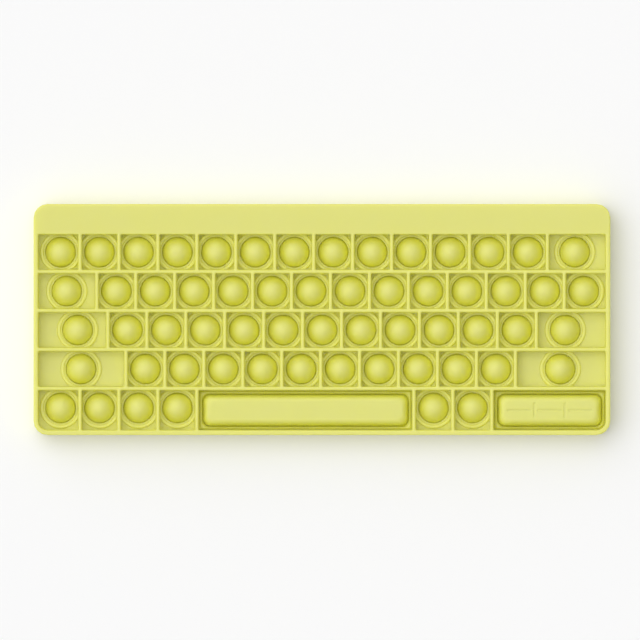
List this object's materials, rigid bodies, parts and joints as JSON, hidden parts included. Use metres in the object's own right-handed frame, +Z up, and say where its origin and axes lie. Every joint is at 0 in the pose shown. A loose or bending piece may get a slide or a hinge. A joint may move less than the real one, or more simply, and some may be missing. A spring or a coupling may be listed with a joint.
{
  "type": "bubble-popping keyboard toy",
  "caption": "Flat silicone fidget toy shaped like a computer keyboard: staggered rows of domed bubbles in ribbed wells, with a long space bar and an arrow pad, that push through and back.",
  "frame": {"origin": "middle of the footprint, on the surface that the toy rests on", "axes": "+X to the right along the keyboard, +Y away from the user, +Z up out of the toy's top face"},
  "size_m": [0.2814, 0.1128, 0.016],
  "materials": {
    "silicone": "satin"
  },
  "bodies": {
    "frame": {"frame": "silicone"},
    "arrow_pad": {"arrow_pad": "silicone"},
    "bubble_r1_01": {"bubble_r1_01": "silicone"},
    "bubble_r1_02": {"bubble_r1_02": "silicone"},
    "bubble_r1_03": {"bubble_r1_03": "silicone"},
    "bubble_r1_04": {"bubble_r1_04": "silicone"},
    "bubble_r1_05": {"bubble_r1_05": "silicone"},
    "bubble_r1_06": {"bubble_r1_06": "silicone"},
    "bubble_r1_07": {"bubble_r1_07": "silicone"},
    "bubble_r1_08": {"bubble_r1_08": "silicone"},
    "bubble_r1_09": {"bubble_r1_09": "silicone"},
    "bubble_r1_10": {"bubble_r1_10": "silicone"},
    "bubble_r1_11": {"bubble_r1_11": "silicone"},
    "bubble_r1_12": {"bubble_r1_12": "silicone"},
    "bubble_r1_13": {"bubble_r1_13": "silicone"},
    "bubble_r1_14": {"bubble_r1_14": "silicone"},
    "bubble_r2_01": {"bubble_r2_01": "silicone"},
    "bubble_r2_02": {"bubble_r2_02": "silicone"},
    "bubble_r2_03": {"bubble_r2_03": "silicone"},
    "bubble_r2_04": {"bubble_r2_04": "silicone"},
    "bubble_r2_05": {"bubble_r2_05": "silicone"},
    "bubble_r2_06": {"bubble_r2_06": "silicone"},
    "bubble_r2_07": {"bubble_r2_07": "silicone"},
    "bubble_r2_08": {"bubble_r2_08": "silicone"},
    "bubble_r2_09": {"bubble_r2_09": "silicone"},
    "bubble_r2_10": {"bubble_r2_10": "silicone"},
    "bubble_r2_11": {"bubble_r2_11": "silicone"},
    "bubble_r2_12": {"bubble_r2_12": "silicone"},
    "bubble_r2_13": {"bubble_r2_13": "silicone"},
    "bubble_r2_14": {"bubble_r2_14": "silicone"},
    "bubble_r3_01": {"bubble_r3_01": "silicone"},
    "bubble_r3_02": {"bubble_r3_02": "silicone"},
    "bubble_r3_03": {"bubble_r3_03": "silicone"},
    "bubble_r3_04": {"bubble_r3_04": "silicone"},
    "bubble_r3_05": {"bubble_r3_05": "silicone"},
    "bubble_r3_06": {"bubble_r3_06": "silicone"},
    "bubble_r3_07": {"bubble_r3_07": "silicone"},
    "bubble_r3_08": {"bubble_r3_08": "silicone"},
    "bubble_r3_09": {"bubble_r3_09": "silicone"},
    "bubble_r3_10": {"bubble_r3_10": "silicone"},
    "bubble_r3_11": {"bubble_r3_11": "silicone"},
    "bubble_r3_12": {"bubble_r3_12": "silicone"},
    "bubble_r3_13": {"bubble_r3_13": "silicone"},
    "bubble_r4_01": {"bubble_r4_01": "silicone"},
    "bubble_r4_02": {"bubble_r4_02": "silicone"},
    "bubble_r4_03": {"bubble_r4_03": "silicone"},
    "bubble_r4_04": {"bubble_r4_04": "silicone"},
    "bubble_r4_05": {"bubble_r4_05": "silicone"},
    "bubble_r4_06": {"bubble_r4_06": "silicone"},
    "bubble_r4_07": {"bubble_r4_07": "silicone"},
    "bubble_r4_08": {"bubble_r4_08": "silicone"},
    "bubble_r4_09": {"bubble_r4_09": "silicone"},
    "bubble_r4_10": {"bubble_r4_10": "silicone"},
    "bubble_r4_11": {"bubble_r4_11": "silicone"},
    "bubble_r4_12": {"bubble_r4_12": "silicone"},
    "bubble_r5_03": {"bubble_r5_03": "silicone"},
    "bubble_r5_04": {"bubble_r5_04": "silicone"},
    "bubbles_r5_01_02": {"bubbles_r5_01_02": "silicone"},
    "bubbles_r5_05_06": {"bubbles_r5_05_06": "silicone"},
    "space_bar": {"space_bar": "silicone"}
  },
  "joints": [
    {"name": "arrow_pad_pop", "type": "slide", "parent": "frame", "child": "arrow_pad", "axis": [0, 0, -1], "range_m": [0, 0.0144]},
    {"name": "bubble_r1_01_pop", "type": "slide", "parent": "frame", "child": "bubble_r1_01", "axis": [0, 0, -1], "range_m": [0, 0.0144]},
    {"name": "bubble_r1_02_pop", "type": "slide", "parent": "frame", "child": "bubble_r1_02", "axis": [0, 0, -1], "range_m": [0, 0.0144]},
    {"name": "bubble_r1_03_pop", "type": "slide", "parent": "frame", "child": "bubble_r1_03", "axis": [0, 0, -1], "range_m": [0, 0.0144]},
    {"name": "bubble_r1_04_pop", "type": "slide", "parent": "frame", "child": "bubble_r1_04", "axis": [0, 0, -1], "range_m": [0, 0.0144]},
    {"name": "bubble_r1_05_pop", "type": "slide", "parent": "frame", "child": "bubble_r1_05", "axis": [0, 0, -1], "range_m": [0, 0.0144]},
    {"name": "bubble_r1_06_pop", "type": "slide", "parent": "frame", "child": "bubble_r1_06", "axis": [0, 0, -1], "range_m": [0, 0.0144]},
    {"name": "bubble_r1_07_pop", "type": "slide", "parent": "frame", "child": "bubble_r1_07", "axis": [0, 0, -1], "range_m": [0, 0.0144]},
    {"name": "bubble_r1_08_pop", "type": "slide", "parent": "frame", "child": "bubble_r1_08", "axis": [0, 0, -1], "range_m": [0, 0.0144]},
    {"name": "bubble_r1_09_pop", "type": "slide", "parent": "frame", "child": "bubble_r1_09", "axis": [0, 0, -1], "range_m": [0, 0.0144]},
    {"name": "bubble_r1_10_pop", "type": "slide", "parent": "frame", "child": "bubble_r1_10", "axis": [0, 0, -1], "range_m": [0, 0.0144]},
    {"name": "bubble_r1_11_pop", "type": "slide", "parent": "frame", "child": "bubble_r1_11", "axis": [0, 0, -1], "range_m": [0, 0.0144]},
    {"name": "bubble_r1_12_pop", "type": "slide", "parent": "frame", "child": "bubble_r1_12", "axis": [0, 0, -1], "range_m": [0, 0.0144]},
    {"name": "bubble_r1_13_pop", "type": "slide", "parent": "frame", "child": "bubble_r1_13", "axis": [0, 0, -1], "range_m": [0, 0.0144]},
    {"name": "bubble_r1_14_pop", "type": "slide", "parent": "frame", "child": "bubble_r1_14", "axis": [0, 0, -1], "range_m": [0, 0.0144]},
    {"name": "bubble_r2_01_pop", "type": "slide", "parent": "frame", "child": "bubble_r2_01", "axis": [0, 0, -1], "range_m": [0, 0.0144]},
    {"name": "bubble_r2_02_pop", "type": "slide", "parent": "frame", "child": "bubble_r2_02", "axis": [0, 0, -1], "range_m": [0, 0.0144]},
    {"name": "bubble_r2_03_pop", "type": "slide", "parent": "frame", "child": "bubble_r2_03", "axis": [0, 0, -1], "range_m": [0, 0.0144]},
    {"name": "bubble_r2_04_pop", "type": "slide", "parent": "frame", "child": "bubble_r2_04", "axis": [0, 0, -1], "range_m": [0, 0.0144]},
    {"name": "bubble_r2_05_pop", "type": "slide", "parent": "frame", "child": "bubble_r2_05", "axis": [0, 0, -1], "range_m": [0, 0.0144]},
    {"name": "bubble_r2_06_pop", "type": "slide", "parent": "frame", "child": "bubble_r2_06", "axis": [0, 0, -1], "range_m": [0, 0.0144]},
    {"name": "bubble_r2_07_pop", "type": "slide", "parent": "frame", "child": "bubble_r2_07", "axis": [0, 0, -1], "range_m": [0, 0.0144]},
    {"name": "bubble_r2_08_pop", "type": "slide", "parent": "frame", "child": "bubble_r2_08", "axis": [0, 0, -1], "range_m": [0, 0.0144]},
    {"name": "bubble_r2_09_pop", "type": "slide", "parent": "frame", "child": "bubble_r2_09", "axis": [0, 0, -1], "range_m": [0, 0.0144]},
    {"name": "bubble_r2_10_pop", "type": "slide", "parent": "frame", "child": "bubble_r2_10", "axis": [0, 0, -1], "range_m": [0, 0.0144]},
    {"name": "bubble_r2_11_pop", "type": "slide", "parent": "frame", "child": "bubble_r2_11", "axis": [0, 0, -1], "range_m": [0, 0.0144]},
    {"name": "bubble_r2_12_pop", "type": "slide", "parent": "frame", "child": "bubble_r2_12", "axis": [0, 0, -1], "range_m": [0, 0.0144]},
    {"name": "bubble_r2_13_pop", "type": "slide", "parent": "frame", "child": "bubble_r2_13", "axis": [0, 0, -1], "range_m": [0, 0.0144]},
    {"name": "bubble_r2_14_pop", "type": "slide", "parent": "frame", "child": "bubble_r2_14", "axis": [0, 0, -1], "range_m": [0, 0.0144]},
    {"name": "bubble_r3_01_pop", "type": "slide", "parent": "frame", "child": "bubble_r3_01", "axis": [0, 0, -1], "range_m": [0, 0.0144]},
    {"name": "bubble_r3_02_pop", "type": "slide", "parent": "frame", "child": "bubble_r3_02", "axis": [0, 0, -1], "range_m": [0, 0.0144]},
    {"name": "bubble_r3_03_pop", "type": "slide", "parent": "frame", "child": "bubble_r3_03", "axis": [0, 0, -1], "range_m": [0, 0.0144]},
    {"name": "bubble_r3_04_pop", "type": "slide", "parent": "frame", "child": "bubble_r3_04", "axis": [0, 0, -1], "range_m": [0, 0.0144]},
    {"name": "bubble_r3_05_pop", "type": "slide", "parent": "frame", "child": "bubble_r3_05", "axis": [0, 0, -1], "range_m": [0, 0.0144]},
    {"name": "bubble_r3_06_pop", "type": "slide", "parent": "frame", "child": "bubble_r3_06", "axis": [0, 0, -1], "range_m": [0, 0.0144]},
    {"name": "bubble_r3_07_pop", "type": "slide", "parent": "frame", "child": "bubble_r3_07", "axis": [0, 0, -1], "range_m": [0, 0.0144]},
    {"name": "bubble_r3_08_pop", "type": "slide", "parent": "frame", "child": "bubble_r3_08", "axis": [0, 0, -1], "range_m": [0, 0.0144]},
    {"name": "bubble_r3_09_pop", "type": "slide", "parent": "frame", "child": "bubble_r3_09", "axis": [0, 0, -1], "range_m": [0, 0.0144]},
    {"name": "bubble_r3_10_pop", "type": "slide", "parent": "frame", "child": "bubble_r3_10", "axis": [0, 0, -1], "range_m": [0, 0.0144]},
    {"name": "bubble_r3_11_pop", "type": "slide", "parent": "frame", "child": "bubble_r3_11", "axis": [0, 0, -1], "range_m": [0, 0.0144]},
    {"name": "bubble_r3_12_pop", "type": "slide", "parent": "frame", "child": "bubble_r3_12", "axis": [0, 0, -1], "range_m": [0, 0.0144]},
    {"name": "bubble_r3_13_pop", "type": "slide", "parent": "frame", "child": "bubble_r3_13", "axis": [0, 0, -1], "range_m": [0, 0.0144]},
    {"name": "bubble_r4_01_pop", "type": "slide", "parent": "frame", "child": "bubble_r4_01", "axis": [0, 0, -1], "range_m": [0, 0.0144]},
    {"name": "bubble_r4_02_pop", "type": "slide", "parent": "frame", "child": "bubble_r4_02", "axis": [0, 0, -1], "range_m": [0, 0.0144]},
    {"name": "bubble_r4_03_pop", "type": "slide", "parent": "frame", "child": "bubble_r4_03", "axis": [0, 0, -1], "range_m": [0, 0.0144]},
    {"name": "bubble_r4_04_pop", "type": "slide", "parent": "frame", "child": "bubble_r4_04", "axis": [0, 0, -1], "range_m": [0, 0.0144]},
    {"name": "bubble_r4_05_pop", "type": "slide", "parent": "frame", "child": "bubble_r4_05", "axis": [0, 0, -1], "range_m": [0, 0.0144]},
    {"name": "bubble_r4_06_pop", "type": "slide", "parent": "frame", "child": "bubble_r4_06", "axis": [0, 0, -1], "range_m": [0, 0.0144]},
    {"name": "bubble_r4_07_pop", "type": "slide", "parent": "frame", "child": "bubble_r4_07", "axis": [0, 0, -1], "range_m": [0, 0.0144]},
    {"name": "bubble_r4_08_pop", "type": "slide", "parent": "frame", "child": "bubble_r4_08", "axis": [0, 0, -1], "range_m": [0, 0.0144]},
    {"name": "bubble_r4_09_pop", "type": "slide", "parent": "frame", "child": "bubble_r4_09", "axis": [0, 0, -1], "range_m": [0, 0.0144]},
    {"name": "bubble_r4_10_pop", "type": "slide", "parent": "frame", "child": "bubble_r4_10", "axis": [0, 0, -1], "range_m": [0, 0.0144]},
    {"name": "bubble_r4_11_pop", "type": "slide", "parent": "frame", "child": "bubble_r4_11", "axis": [0, 0, -1], "range_m": [0, 0.0144]},
    {"name": "bubble_r4_12_pop", "type": "slide", "parent": "frame", "child": "bubble_r4_12", "axis": [0, 0, -1], "range_m": [0, 0.0144]},
    {"name": "bubble_r5_03_pop", "type": "slide", "parent": "frame", "child": "bubble_r5_03", "axis": [0, 0, -1], "range_m": [0, 0.0144]},
    {"name": "bubble_r5_04_pop", "type": "slide", "parent": "frame", "child": "bubble_r5_04", "axis": [0, 0, -1], "range_m": [0, 0.0144]},
    {"name": "bubbles_r5_01_02_pop", "type": "slide", "parent": "frame", "child": "bubbles_r5_01_02", "axis": [0, 0, -1], "range_m": [0, 0.0144]},
    {"name": "bubbles_r5_05_06_pop", "type": "slide", "parent": "frame", "child": "bubbles_r5_05_06", "axis": [0, 0, -1], "range_m": [0, 0.0144]},
    {"name": "space_bar_pop", "type": "slide", "parent": "frame", "child": "space_bar", "axis": [0, 0, -1], "range_m": [0, 0.0144]}
  ]
}
